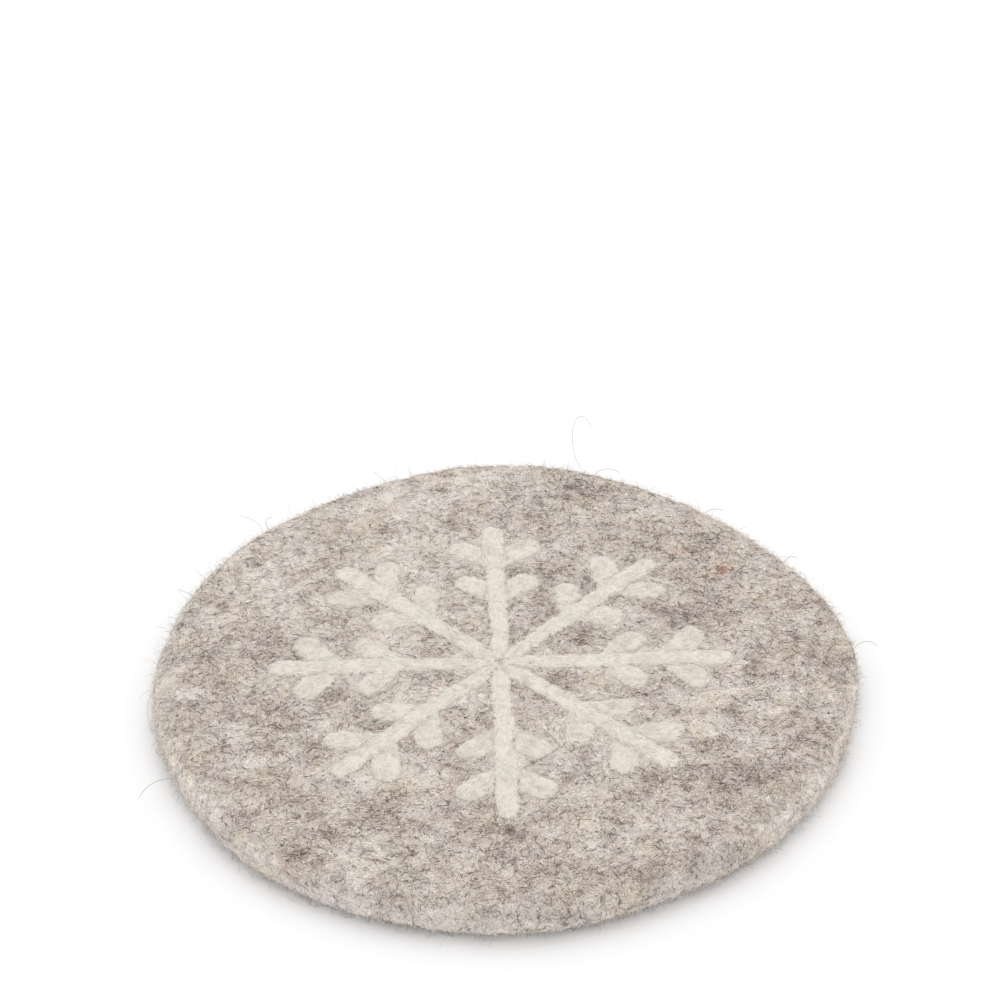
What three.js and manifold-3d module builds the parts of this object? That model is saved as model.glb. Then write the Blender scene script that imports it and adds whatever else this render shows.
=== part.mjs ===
// Round drink coaster of thick wool felt, with a snowflake of eight arms needled into its top face.
// Each arm is laid from five separate tufts of white wool: one straight stem and four round-ended leaves.
// Every tuft is pressed into a shallow seat in the felt and swells a little above it.
// Millimetres, +Z up. The origin is in the middle of the underside.

import * as THREE from "three";
import { mergeVertices } from "three/addons/utils/BufferGeometryUtils.js";
import Module from "manifold-3d";

// Felt disc
const DISC_DIAMETER = 100;
const DISC_THICKNESS = 5.5;
const TOP_EDGE_ROUND = 2;
const LOW_EDGE_ROUND = 1.2;
const DISC_SEGMENTS = 96;
const EDGE_STEPS = 4;
// The outline was cut by hand, so it swells and draws in.
// Each entry gives a number of lobes, their height and their turn in degrees.
const OUTLINE_LOBES = [
  { count: 2, height: 0.33, turn: 152 },
  { count: 3, height: 0.44, turn: -35 },
  { count: 4, height: 0.5, turn: -13 },
  { count: 5, height: 0.25, turn: 60 },
  { count: 6, height: 0.15, turn: 138 },
  { count: 8, height: 0.19, turn: 47 },
];
// Corners of a mesh that lie closer together than this are one corner.
const SAME_POINT = 1e-4;

// Snowflake
const ARM_COUNT = 8;
const ARM_TURN = 1.75;
// The snowflake's middle sits a little left of the disc's middle, and nearer to the front.
const SNOWFLAKE_SHIFT_X = -0.83;
const SNOWFLAKE_SHIFT_Y = -0.22;
const STEM_REACH = 33.2;
const STEM_ROOT_WIDTH = 2.2;
const STEM_END_WIDTH = 3;
const STEM_TIP_ROUND = 2;
const STEM_POINT_WIDTH = 0.3;
const LEAF_ANGLE = 54;
const LEAF_NECK_WIDTH = 3.4;
const LEAF_WIDTH = 3.7;
const LEAF_TIP_ROUND = 2.1;
const INNER_LEAF_ROOT = 15.8;
const INNER_LEAF_LENGTH = 7.4;
const OUTER_LEAF_ROOT = 24;
const OUTER_LEAF_LENGTH = 8;

// How the tufts sit in the felt
const SEAT_DEPTH = 0.8;
const TUFT_RISE = 0.35;
const CLEARANCE = 0.3;

// Steps along a tuft's body, round its tip and across its dome
const BODY_STEPS = 5;
const TIP_STEPS = 4;
const DOME_STEPS = 4;

const wasm = await Module();
wasm.setup();

const feltWool = new THREE.MeshStandardMaterial({ color: 0xc0b5ab, roughness: 0.95, metalness: 0 });
const whiteWool = new THREE.MeshStandardMaterial({ color: 0xd9d1c6, roughness: 0.9, metalness: 0 });

function toSolid(geometry) {
  const bare = new THREE.BufferGeometry();
  bare.setAttribute("position", geometry.getAttribute("position").clone());
  bare.setIndex(geometry.getIndex() ? geometry.getIndex().clone() : null);
  const merged = mergeVertices(bare, SAME_POINT);
  const corners = merged.getIndex().array;
  const triangles = [];
  for (let i = 0; i < corners.length; i += 3) {
    const [a, b, c] = [corners[i], corners[i + 1], corners[i + 2]];
    if (a !== b && b !== c && c !== a) triangles.push(a, b, c);
  }
  return new wasm.Manifold(new wasm.Mesh({
    numProp: 3,
    vertProperties: new Float32Array(merged.getAttribute("position").array),
    triVerts: new Uint32Array(triangles),
  }));
}

function toGeometry(solid) {
  const mesh = solid.getMesh();
  const geometry = new THREE.BufferGeometry();
  geometry.setAttribute("position", new THREE.BufferAttribute(new Float32Array(mesh.vertProperties), 3));
  geometry.setIndex(new THREE.BufferAttribute(new Uint32Array(mesh.triVerts), 1));
  geometry.computeVertexNormals();
  return geometry;
}

// A tuft's outline runs along +X: stations of distance and half width, closing to a point at the round tip.
function roundTip(start, end, halfWidth) {
  const stations = [];
  for (let i = 1; i <= TIP_STEPS; i += 1) {
    const angle = (Math.PI / 2) * (i / TIP_STEPS);
    stations.push({ x: start + (end - start) * Math.sin(angle), half: halfWidth * Math.cos(angle) });
  }
  stations[TIP_STEPS - 1].half = 0;
  return stations;
}

function leafStations(length, grow) {
  const neck = LEAF_NECK_WIDTH / 2 + grow;
  const belly = LEAF_WIDTH / 2 + grow;
  const bellyAt = length - LEAF_TIP_ROUND;
  const stations = [];
  for (let i = 0; i <= BODY_STEPS; i += 1) {
    const share = i / BODY_STEPS;
    stations.push({ x: bellyAt * share, half: neck + (belly - neck) * Math.sin((Math.PI / 2) * share) });
  }
  return stations.concat(roundTip(bellyAt, length + grow, belly));
}

// The eight stems meet in the middle of the disc, so each ends there in a wedge between its two neighbours.
function stemStations(grow) {
  const wedge = Math.tan(Math.PI / ARM_COUNT);
  const wedgeStart = CLEARANCE / 2 / Math.sin(Math.PI / ARM_COUNT);
  const pointAt = wedgeStart + STEM_POINT_WIDTH / 2 / wedge;
  const shoulderAt = wedgeStart + STEM_ROOT_WIDTH / 2 / wedge;
  const roundAt = STEM_REACH - STEM_TIP_ROUND;
  const stations = [{ x: pointAt - grow, half: STEM_POINT_WIDTH / 2 + grow }];
  for (let i = 0; i <= BODY_STEPS; i += 1) {
    const share = i / BODY_STEPS;
    const half = THREE.MathUtils.lerp(STEM_ROOT_WIDTH, STEM_END_WIDTH, share) / 2 + grow;
    stations.push({ x: THREE.MathUtils.lerp(shoulderAt, roundAt, share), half });
  }
  return stations.concat(roundTip(roundAt, STEM_REACH + grow, STEM_END_WIDTH / 2 + grow));
}

// A straight-sided prism of a tuft's outline, from the seat's floor to well above the tuft.
function outlinePrism(stations, floor, height) {
  const left = stations.filter((s) => s.half > 0).map((s) => new THREE.Vector2(s.x, s.half));
  const right = stations.map((s) => new THREE.Vector2(s.x, -s.half));
  const shape = new THREE.Shape(right.concat(left.reverse()));
  const geometry = new THREE.ExtrudeGeometry(shape, { depth: height, bevelEnabled: false });
  return geometry.translate(0, 0, floor);
}

// The tuft itself: flat underneath, upright to the felt's top face, then domed from side to side.
function tuftGeometry(stations) {
  const widest = Math.max(...stations.map((s) => s.half));
  const positions = [];
  for (const { x, half } of stations) {
    const rise = TUFT_RISE * Math.sqrt(half / widest);
    positions.push(x, -half, 0);
    for (let j = 0; j <= DOME_STEPS; j += 1) {
      const angle = Math.PI * (1 - j / DOME_STEPS);
      positions.push(x, half * Math.cos(angle), SEAT_DEPTH + rise * Math.sin(angle));
    }
    positions.push(x, half, 0);
  }
  const ring = DOME_STEPS + 3;
  const index = [];
  for (let i = 0; i + 1 < stations.length; i += 1) {
    for (let j = 0; j < ring; j += 1) {
      const a = i * ring + j;
      const b = i * ring + ((j + 1) % ring);
      index.push(a, a + ring, b, b, a + ring, b + ring);
    }
  }
  for (let j = 1; j + 1 < ring; j += 1) index.push(0, j, j + 1);
  const geometry = new THREE.BufferGeometry();
  geometry.setAttribute("position", new THREE.Float32BufferAttribute(positions, 3));
  geometry.setIndex(index);
  return geometry;
}

// Where each leaf leaves its stem: distance along the arm, length, and side of the stem.
const leaves = [
  { name: "inner_leaf_left", root: INNER_LEAF_ROOT, length: INNER_LEAF_LENGTH, side: 1 },
  { name: "inner_leaf_right", root: INNER_LEAF_ROOT, length: INNER_LEAF_LENGTH, side: -1 },
  { name: "outer_leaf_left", root: OUTER_LEAF_ROOT, length: OUTER_LEAF_LENGTH, side: 1 },
  { name: "outer_leaf_right", root: OUTER_LEAF_ROOT, length: OUTER_LEAF_LENGTH, side: -1 },
];

function placeLeaf(geometry, leaf) {
  geometry.rotateZ(leaf.side * THREE.MathUtils.degToRad(LEAF_ANGLE));
  return geometry.translate(leaf.root, 0, 0);
}

function armTufts() {
  const tall = SEAT_DEPTH + 2 * TUFT_RISE;
  const stemRoom = toSolid(outlinePrism(stemStations(CLEARANCE), -TUFT_RISE, tall + TUFT_RISE));
  const tufts = [{ name: "stem", geometry: toGeometry(toSolid(tuftGeometry(stemStations(0)))) }];
  for (const leaf of leaves) {
    const whole = toSolid(placeLeaf(tuftGeometry(leafStations(leaf.length, 0)), leaf));
    tufts.push({ name: leaf.name, geometry: toGeometry(whole.subtract(stemRoom)) });
  }
  return tufts;
}

// One star-shaped hollow takes all the tufts, with clearance round each of them.
function snowflakeSeat() {
  const floor = DISC_THICKNESS - SEAT_DEPTH;
  const prisms = [outlinePrism(stemStations(CLEARANCE), floor, 2 * SEAT_DEPTH)];
  for (const leaf of leaves) {
    prisms.push(placeLeaf(outlinePrism(leafStations(leaf.length, CLEARANCE), floor, 2 * SEAT_DEPTH), leaf));
  }
  let seat = null;
  for (let arm = 0; arm < ARM_COUNT; arm += 1) {
    for (const prism of prisms) {
      const turned = prism.clone().rotateZ(armAngle(arm));
      const piece = toSolid(turned.translate(SNOWFLAKE_SHIFT_X, SNOWFLAKE_SHIFT_Y, 0));
      seat = seat ? seat.add(piece) : piece;
    }
  }
  return seat;
}

function armAngle(arm) {
  return THREE.MathUtils.degToRad(ARM_TURN) + (2 * Math.PI * arm) / ARM_COUNT;
}

function outlineSwell(angle) {
  let swell = 0;
  for (const lobe of OUTLINE_LOBES) {
    swell += lobe.height * Math.cos(lobe.count * angle - THREE.MathUtils.degToRad(lobe.turn));
  }
  return swell;
}

function discGeometry() {
  const radius = DISC_DIAMETER / 2;
  const low = Math.min(LOW_EDGE_ROUND, DISC_THICKNESS / 2);
  const top = Math.min(TOP_EDGE_ROUND, DISC_THICKNESS / 2);
  const profile = [new THREE.Vector2(0, 0)];
  for (let i = 0; i <= EDGE_STEPS; i += 1) {
    const angle = (Math.PI / 2) * (i / EDGE_STEPS);
    profile.push(new THREE.Vector2(radius - low + low * Math.sin(angle), low - low * Math.cos(angle)));
  }
  for (let i = 0; i <= EDGE_STEPS; i += 1) {
    const angle = (Math.PI / 2) * (i / EDGE_STEPS);
    const height = DISC_THICKNESS - top + top * Math.sin(angle);
    profile.push(new THREE.Vector2(radius - top + top * Math.cos(angle), height));
  }
  profile.push(new THREE.Vector2(0, DISC_THICKNESS));
  const geometry = new THREE.LatheGeometry(profile, DISC_SEGMENTS).rotateX(Math.PI / 2);
  const position = geometry.getAttribute("position");
  for (let i = 0; i < position.count; i += 1) {
    const [x, y] = [position.getX(i), position.getY(i)];
    const stretch = 1 + outlineSwell(Math.atan2(y, x)) / radius;
    position.setXY(i, x * stretch, y * stretch);
  }
  geometry.computeBoundingBox();
  const middle = geometry.boundingBox.getCenter(new THREE.Vector3());
  return geometry.translate(-middle.x, -middle.y, 0);
}

function named(geometry, material, name) {
  const mesh = new THREE.Mesh(geometry, material);
  mesh.name = name;
  return mesh;
}

const coaster = new THREE.Group();
const disc = toSolid(discGeometry()).subtract(snowflakeSeat());
coaster.add(named(toGeometry(disc), feltWool, "felt_disc"));

const tufts = armTufts();
for (let arm = 0; arm < ARM_COUNT; arm += 1) {
  const group = new THREE.Group();
  group.rotation.z = armAngle(arm);
  group.position.set(SNOWFLAKE_SHIFT_X, SNOWFLAKE_SHIFT_Y, DISC_THICKNESS - SEAT_DEPTH);
  for (const tuft of tufts) group.add(named(tuft.geometry, whiteWool, `arm_${arm + 1}_${tuft.name}`));
  coaster.add(group);
}

export default coaster;
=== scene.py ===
"""Looks of a round felted-wool coaster with a white needle-felted snowflake.

The felt disc, the tufts of the snowflake and the loose wool fibres on them are meshes built around the
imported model. Lengths here are in millimetres and become metres where a mesh, light or camera is made.
A shade runs from 0, darkest, to 1, lightest.
"""

import math
from typing import NamedTuple

import bpy
import numpy as np
from mathutils import Matrix, Vector, noise
from mathutils.geometry import delaunay_2d_cdt


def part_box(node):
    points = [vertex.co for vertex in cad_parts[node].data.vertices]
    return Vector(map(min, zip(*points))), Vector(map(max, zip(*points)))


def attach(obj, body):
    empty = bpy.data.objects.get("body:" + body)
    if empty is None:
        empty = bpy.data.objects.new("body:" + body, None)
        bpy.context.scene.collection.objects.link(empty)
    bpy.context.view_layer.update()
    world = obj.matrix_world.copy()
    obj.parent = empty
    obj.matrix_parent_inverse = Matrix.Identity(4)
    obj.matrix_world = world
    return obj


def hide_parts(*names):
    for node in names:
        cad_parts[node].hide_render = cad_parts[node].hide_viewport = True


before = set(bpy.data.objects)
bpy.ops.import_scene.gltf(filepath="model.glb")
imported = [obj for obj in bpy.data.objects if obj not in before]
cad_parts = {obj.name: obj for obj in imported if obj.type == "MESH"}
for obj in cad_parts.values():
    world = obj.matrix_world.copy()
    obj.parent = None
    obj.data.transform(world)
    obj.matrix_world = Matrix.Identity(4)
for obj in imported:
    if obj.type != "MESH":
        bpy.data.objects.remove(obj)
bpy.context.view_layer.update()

MM = 0.001
random = np.random.default_rng(2024)


class Laid(NamedTuple):
    """A kind of fibre that lies on the felt, where its ends sink in and its middle rises."""

    name: str
    count: int
    points: int
    length: tuple
    bend: float
    sink: float
    rise: float
    half: tuple


class Loose(NamedTuple):
    """A kind of hair that leaves the felt; a share of them is dark instead of having these shades."""

    name: str
    count: int
    points: int
    length: tuple
    lean: tuple
    curl: tuple
    shades: tuple
    dark_share: float
    half: tuple


# Felt disc: rounding of its edges, and spacing and scatter of its mesh rings; the smallest stay even
TOP_ROUND = 2.0
LOW_ROUND = 2.2
TOP_RING_STEP = 0.37
UNDER_RING_STEP = 0.95
RING_JITTER = 0.1
EVEN_RING_POINTS = 6
# Lumps of the felt's surface: size across and height. Underneath they only go in, by a share of that
LUMPS = ((11.0, 0.22), (3.2, 0.12), (1.1, 0.1))
EDGE_LUMPS = ((5.5, 0.18), (2.0, 0.18))
UNDER_LUMP_SHARE = 0.5
# Patches where lighter or darker fleece gathers, size across and weight; and painted light on the left side
PATCHES = ((20.0, 0.4), (9.0, 0.6), (3.6, 0.55), (1.5, 0.5), (0.7, 0.45))
LEFT_PAINTED_LIGHT = 0.13
TINT_PATCHES = ((6.0, 0.55), (2.0, 0.6))
TINT_MIDDLE = 0.5
TINT_SWING = 0.42
# The edge is painted pale, partly rubbed fleece and partly painted light on the wall and the rounding: how
# much lighter, where on the radius the wall and the rounding turn pale, from what height the wall's
# paleness fades, how pale the rounding is, and how much less so in front, where less light is painted
EDGE_WEAR_AND_LIGHT_GAIN = 1.2
PALE_WALL = (0.92, 0.99)
PALE_ROUNDING = (0.968, 1.0)
PALEST_HEIGHT = 2.0
PALE_END_BELOW_TOP = 0.3
ROUNDING_PALENESS = 0.8
FRONT_RANGE = (-0.6, -0.95)
FRONT_LIGHT_LOSS = 0.6
# Rust-coloured spots: place and strength, reach, stretch sideways, darkness and place on the tint scale
RUST_SPOTS = ((26.5, 26.5, 1.0), (32.4, 21.7, 0.95), (-28.8, -40.8, 0.25), (18.6, -47.5, 0.25))
RUST_REACH = 2.4
RUST_STRETCH = 1.6
RUST_SHADE = 0.7
RUST_PLACE = 0.05
RUST_IN_BODY = 0.4

# Tufts of the snowflake: how far their wool spreads past the CAD outline, and how ragged that edge is
TUFT_SPREAD = 0.22
TUFT_RAGGED = ((2.2, 0.16), (0.7, 0.16))
TUFT_EDGE_STEP = 0.16
# Spacing of the points inside a tuft, and their scatter and gap to its edge as shares of that
TUFT_GRID = 0.3
GRID_JITTER = 0.3
GRID_MARGIN = 0.6
# How far the tufts wander from straight, and over what length
TUFT_WANDER = 0.35
TUFT_WANDER_SIZE = 6.5
# Height of the wool over the felt, and how far in from the edge it reaches that height
TUFT_CROWN = 0.2
TUFT_SLOPE = 0.9
TUFT_LUMPS = ((2.4, 0.05), (0.7, 0.04))
TUFT_EDGE_THICKNESS = 0.05
# Shade of the white wool; its fibres are painted a little lighter and the pad under them darker, as painted
# shade between the fibres; the pad also varies in patches
LEAF_TONE = 0.68
STEM_TONE = 0.76
FIBRE_PAINTED_LIGHT = 0.1
FIBRE_TONE_SPREAD = 0.1
PAD_PAINTED_SHADE = 0.6
PAD_PATCH_SIZE = 2.0
PAD_PATCH_WEIGHT = 0.12
# Where the felt goes down to the tuft's seat, inside the tuft's edge, and room left under the tuft
SEAT_START = 0.3
SEAT_END = 0.7
SEAT_LAG = 0.1
SEAT_UNDERCUT = 0.08
# Stations along a tuft where its width is measured, over a share of its length
TUFT_STATIONS = 24
STATION_REACH = 9

# Kinds of fibre. A length goes from and to, or is the least with the shape and scale of what is added to
# it; half is half the thickness, from and to
LONG_FIBRES = Laid("felt_fibres", 16000, 6, (0.9, 3.6), 0.75, 0.1, 0.22, (0.015, 0.03))
LOCKS = Laid("felt_locks", 26000, 4, (0.35, 1.6, 0.34), 1.3, 0.06, 0.14, (0.018, 0.034))
LYING_HAIRS = Laid("felt_hairs", 3000, 12, (2.5, 8.0), 0.45, 0.05, 0.16, (0.013, 0.022))
UNDER_FIBRES = Laid("under_fibres", 10000, 6, (1.2, 4.5), 0.6, 0.1, 0.08, (0.018, 0.036))
FUZZ = Loose(
    "felt_fuzz", 24000, 4, (0.3, 1.5, 0.32), (0.1, 1.0), (0.3, 1.6), (0.7, 0.99), 0.0, (0.01, 0.02))
FRINGE = Loose(
    "edge_fringe", 20000, 4, (0.3, 1.6, 0.42), (0.2, 1.3), (0.3, 1.4), (0.6, 0.98), 0.16, (0.012, 0.023))
WISPS = Loose("felt_wisps", 1500, 10, (1.0, 4.0), (0.1, 1.0), (0.6, 1.8), (0.2, 0.55), 0.0, (0.012, 0.02))
# Shares of the fuzz and wisps that grow round the edge, and where the edge and its fringe begin and end
FUZZ_ON_EDGE = 0.75
WISPS_ON_EDGE = 0.85
EDGE_START = 1.0
EDGE_END = 0.3
FRINGE_START = 0.3
# A lock: how many fibres, how far apart they start, part and slide, and how shade and thickness vary
LOCK_FIBRES = 3
LOCK_WIDTH = 0.03
LOCK_SPLAY = 0.04
LOCK_SLIDE = 0.2
LOCK_SHADE_SPREAD = 0.05
LOCK_THICKNESS = 0.8
LOCK_THICKNESS_OF_SHADE = 0.35
# Loose hairs: how far they stray from their lean, how deep they are rooted, and how they wobble
HAIR_STRAY = 0.6
HAIR_ROOT = 0.15
HAIR_WOBBLE = 0.1
# Lying hairs that are dark, and the shades of the dark and of the pale ones
DARK_HAIRS = 0.5
DARK_SHADES = (0.02, 0.25)
PALE_SHADES = (0.85, 0.98)
# Felt fibres on the snowflake: the share that may cross it, how far and how much of the others may lie
# over its edge, and the least shade
CROSSING_SHARE = 0.05
FIBRE_OVERLAP = 0.5
MOST_ON_TUFT = 0.3
SHADE_ON_TUFTS = 0.72
# Combed white fibres: how dense, points along each, length, reach past the tuft's ends, and height
COMBED_PER_SQUARE_MM = 17.0
COMBED_POINTS = 5
COMBED_LENGTH = (1.2, 4.5)
COMBED_OVERRUN = 0.8
TIP_OVERRUN = 0.3
TIP_FEATHER = 0.5
COMBED_SINK = 0.02
COMBED_RISE = 0.07
COMBED_HALF = (0.014, 0.026)
# Their lanes, as shares of the tuft's half width: reach, spread, drift and waves, and the strays
LANE_REACH = 1.05
LANE_SPREAD = 0.15
LANE_DRIFT = 0.5
LANE_WAVE = 0.07
LANE_WAVE_TURN = (4, 12)
LANE_WAVE_START = 6
STRAY_SHARE = 0.2
STRAY_REACH = 1.4
# White fibres that cross where the stems meet, and how far leaf fibres reach into the stem and the leaf
HUB_FIBRES = 260
HUB_REACH = 1.1
HUB_FIBRE_LENGTH = (0.8, 2.4)
HUB_FIBRE_BEND = 0.3
ROOT_OVERLAP = 1.5
ROOT_BLEND = 1.4
# Course of every laid fibre: change of its bend, fullness of its arch, and number and height of its waves
BEND_CHANGE = 0.8
ARCH_POWER = 0.6
LIFT_WAVES = (0.7, 1.8)
LIFT_WAVE_SHARE = 0.3
# Thickness of a fibre at its ends, as a share, and how fast it grows; least height over the table
END_THICKNESS = 0.35
TAPER = 2.5
LEAST_HEIGHT = 0.04
LEAST_HAIR_HEIGHT = 0.05
PIECE_TRIANGLES = 190000
# Room that one fibre takes on the bake map, where its place gives its shade and tint
MAP_FIBRE_WIDTH = 0.004
MAP_FIBRE_LENGTH = 0.03
MAP_END_WIDTH = 0.1
# Mixed fleece: the share of dark fibres, its change with patch and the edge's painted light and wear, and
# its limits; the dark shades; the light shades, their spread and their change; and the tints
DARK_SHARE = 0.37
DARK_BY_PATCH = 0.5
DARK_BY_EDGE = 0.3
DARK_LIMITS = (0.06, 0.8)
DARK_SPREAD = 1.6
LIGHTEST_DARK = 0.3
LIGHT_SHADE = 0.82
LIGHT_SPREAD = 0.15
LIGHT_BY_PATCH = 0.2
LIGHT_BY_EDGE = 0.25
SHADE_LIMITS = (0.01, 0.97)
TINT_SPREAD = 0.1
TINT_LIMITS = (0.2, 0.94)
PLAIN_TINTS = (0.42, 0.58)

# Long hairs that stand off the edge: angle of the root, its height, and the hair's course from there
# as three steps outwards, sideways and up
EDGE_HAIRS = (
    (75.5, 5.0, ((1.2, 3.7, 3.6), (7.0, 3.2, 10.4), (5.0, -0.4, 5.0))),
    (73.5, 5.0, ((0.4, -1.2, 1.6), (0.8, -2.8, 1.4), (0.6, -4.2, 0.6))),
    (138.5, 5.0, ((1.0, -0.6, 1.4), (2.2, 0.4, 1.8), (3.4, 1.6, 2.6))),
    (137.0, 4.8, ((0.9, 0.4, 0.8), (1.6, -0.6, 1.6), (0.7, -1.6, 1.2))),
    (160.2, 5.0, ((0.6, 0.0, 0.7), (1.5, 0.3, 0.9), (2.2, 0.1, 0.8))),
    (166.0, 4.2, ((0.8, 0.4, 0.7), (1.6, 0.6, 0.9), (1.8, -0.3, 0.2))),
    (185.5, 4.6, ((1.2, 0.6, 0.2), (2.0, 3.0, -1.6), (0.6, 6.0, -3.4))),
    (205.7, 2.6, ((1.8, -0.3, 0.8), (4.0, -0.8, 1.0), (6.2, 0.4, -0.8))),
    (3.6, 4.4, ((1.2, 0.6, 1.2), (2.6, 1.0, 1.8), (3.9, -0.2, 0.8))),
    (-22.1, 3.4, ((0.6, 0.0, 0.3), (1.2, 0.3, 0.5), (1.8, 0.2, 0.3))),
    (-23.6, 2.4, ((0.8, 0.5, -0.6), (1.4, -0.6, -1.4), (0.5, -1.4, -0.6))),
    (-48.3, 2.6, ((1.4, 1.4, 0.4), (2.8, 3.4, 0.2), (2.4, 3.2, -1.0))),
    (30.0, 4.6, ((0.7, 0.3, 0.9), (1.6, 0.0, 1.3), (2.1, -0.8, 0.7))),
    (112.0, 4.8, ((0.6, 0.5, 1.0), (1.2, 1.2, 1.5), (2.2, 1.4, 1.2))),
    (233.0, 2.2, ((0.9, -0.4, 0.4), (1.8, 0.2, 0.2), (2.5, 1.0, -0.8))),
    (262.0, 3.0, ((0.7, 0.6, 0.2), (1.3, 1.0, -0.4), (1.2, 0.2, -1.3))),
    (298.0, 2.8, ((0.8, -0.5, 0.5), (1.7, -0.9, 0.3), (2.4, -0.2, -0.7))),
    (50.0, 5.0, ((0.5, -0.4, 0.8), (1.3, -1.0, 0.9), (2.0, -2.0, 0.3))),
)
EDGE_HAIR_POINTS = 20
EDGE_HAIR_ROOT = 0.4
# Half thickness, shades and tint of these hairs
EDGE_HAIR_LOOK = ((0.035, 0.047), (0.2, 0.4), 0.75)
# Long dark hairs on the top: the places they pass
TOP_HAIRS = (
    ((1.6, -23.4), (5.2, -20.8), (7.6, -19.2), (6.4, -17.2), (5.2, -15.2)),
    ((-24.0, -35.0), (-21.5, -36.2), (-19.0, -36.0), (-17.2, -37.6), (-14.6, -38.2)),
    ((36.0, -22.0), (37.6, -20.0), (39.8, -19.2), (40.6, -17.0), (40.0, -14.4)),
    ((-42.0, 8.0), (-40.2, 9.6), (-38.0, 9.2), (-36.6, 10.8), (-34.4, 10.6)),
    ((12.0, 40.5), (15.0, 41.4), (17.6, 40.2), (20.0, 40.8), (22.4, 39.4)),
)
TOP_HAIR_POINTS = 22
TOP_HAIR_ROUNDINGS = 4
TOP_HAIR_LIFT = 0.2
TOP_HAIR_LOOK = ((0.025, 0.035), (0.02, 0.14), 0.5)

# Camera: the photograph's viewing angle, found from the disc's outline and the snowflake's arms
CAMERA_ELEVATION = 35.26
CAMERA_DISTANCE = 443.24
CAMERA_AIM = (-0.71, 47.92, 0.0)
CAMERA_ROLL = -0.44
FOCAL_PIXELS = 2800.0
IMAGE_PIXELS = 1000.0
SENSOR_WIDTH = 36.0
NEAREST_SEEN = 10.0

# Strength of the room's white light near the horizon and overhead, and the lamp above, in metres and watts
HORIZON_LIGHT = 1.35
OVERHEAD_LIGHT = 0.9
SOFTBOX_PLACE = (0.0, 0.25, 1.0)
SOFTBOX_SIZE = 1.0
SOFTBOX_POWER = 3.0
# Floor: its side in metres, and its colour as linear shares of light
FLOOR_SIDE = 6.0
FLOOR_COLOUR = (0.84, 0.84, 0.845, 1)
FLOOR_ROUGHNESS = 0.9


def node_points(name):
    """A CAD node's points, in millimetres."""
    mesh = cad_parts[name].data
    flat = np.zeros(len(mesh.vertices) * 3, np.float32)
    mesh.vertices.foreach_get("co", flat)
    return flat.reshape(-1, 3).astype(float) / MM


def noise_at(points, size, seed):
    """Smooth noise from about -1 to 1 at each point, with lumps of the given size."""
    cells = np.asarray(points, float) / size + 17.3 * seed
    return np.array([noise.noise(cell) for cell in cells.tolist()])


def layered_noise(points, layers, seed):
    """Sum of noises; layers gives the size and weight of each."""
    total = np.zeros(len(points))
    for number, (size, weight) in enumerate(layers):
        total += weight * noise_at(points, size, seed + number)
    return total


def smooth_step(low, high, value):
    """From 0 at low to 1 at high, without a kink at either; low may be the greater one."""
    share = np.clip((value - low) / (high - low), 0, 1)
    return share * share * (3 - 2 * share)


def unit(vectors):
    """Vectors of length 1 in the same directions."""
    return vectors / (np.linalg.norm(vectors, axis=-1, keepdims=True) + 1e-12)


def polar(places):
    """Distance from the middle and angle of places, seen from above."""
    x = places[..., 0]
    y = places[..., 1]
    return np.hypot(x, y), np.arctan2(y, x)


# Shape of the felt disc, as a sheet that is rolled over its own edge

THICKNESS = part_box("felt_disc")[1].z / MM
WALL = THICKNESS - TOP_ROUND - LOW_ROUND
disc_points = node_points("felt_disc")
rim_points = disc_points[np.abs(disc_points[:, 2] - LOW_ROUND - WALL / 2) < WALL / 2 + 0.05]
rim_radii, rim_angles = polar(rim_points)
rim_order = np.argsort(rim_angles)
MEAN_RADIUS = rim_radii.mean()
TOP_FLAT = MEAN_RADIUS - TOP_ROUND
UNDER_FLAT = MEAN_RADIUS - LOW_ROUND
TOP_ARC = TOP_ROUND * math.pi / 2
LOW_ARC = LOW_ROUND * math.pi / 2
# Distances along the section where the wall and the underside begin, and where the section ends
WALL_START = TOP_FLAT + TOP_ARC
UNDER_START = WALL_START + WALL + LOW_ARC
SECTION_END = UNDER_START + UNDER_FLAT

tuft_names = sorted(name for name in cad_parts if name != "felt_disc")
SEAT_FLOOR = min(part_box(name)[0].z for name in tuft_names) / MM


def outline_stretch(angle):
    """How much wider the hand-cut outline is at an angle than a true circle."""
    radius = np.interp(angle, rim_angles[rim_order], rim_radii[rim_order], period=2 * math.pi)
    return radius / MEAN_RADIUS


def profile(along):
    """Radius, height and outward normal at a distance along the section, from the top's middle outwards."""
    top_turn = np.clip((along - TOP_FLAT) / TOP_ROUND, 0, math.pi / 2)
    wall = np.clip(along - WALL_START, 0, WALL)
    low_turn = np.clip((along - WALL_START - WALL) / LOW_ROUND, 0, math.pi / 2)
    under = np.maximum(along - UNDER_START, 0)
    radius = np.minimum(along, TOP_FLAT) + TOP_ROUND * np.sin(top_turn)
    radius = radius - LOW_ROUND * (1 - np.cos(low_turn)) - under
    height = THICKNESS - TOP_ROUND * (1 - np.cos(top_turn)) - wall - LOW_ROUND * np.sin(low_turn)
    turn = top_turn + low_turn
    return radius, height, np.sin(turn), np.cos(turn)


def felt_surface(along, angle):
    """Points and normals of the felt's lumpy surface."""
    radius, height, out, up = profile(along)
    radius = radius * outline_stretch(angle)
    places = np.stack([radius * np.cos(angle), radius * np.sin(angle), height], -1)
    normals = np.stack([out * np.cos(angle), out * np.sin(angle), up], -1)
    facing = normals.reshape(-1, 3)
    swell = layered_noise(places.reshape(-1, 3), LUMPS, seed=0)
    edge_swell = layered_noise(places.reshape(-1, 3), EDGE_LUMPS, seed=50)
    swell += np.hypot(facing[:, 0], facing[:, 1]) * edge_swell
    faces_down = facing[:, 2] < -0.5
    swell[faces_down] = -UNDER_LUMP_SHARE * np.abs(swell[faces_down])
    return places + (swell[:, None] * facing).reshape(places.shape), normals


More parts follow.
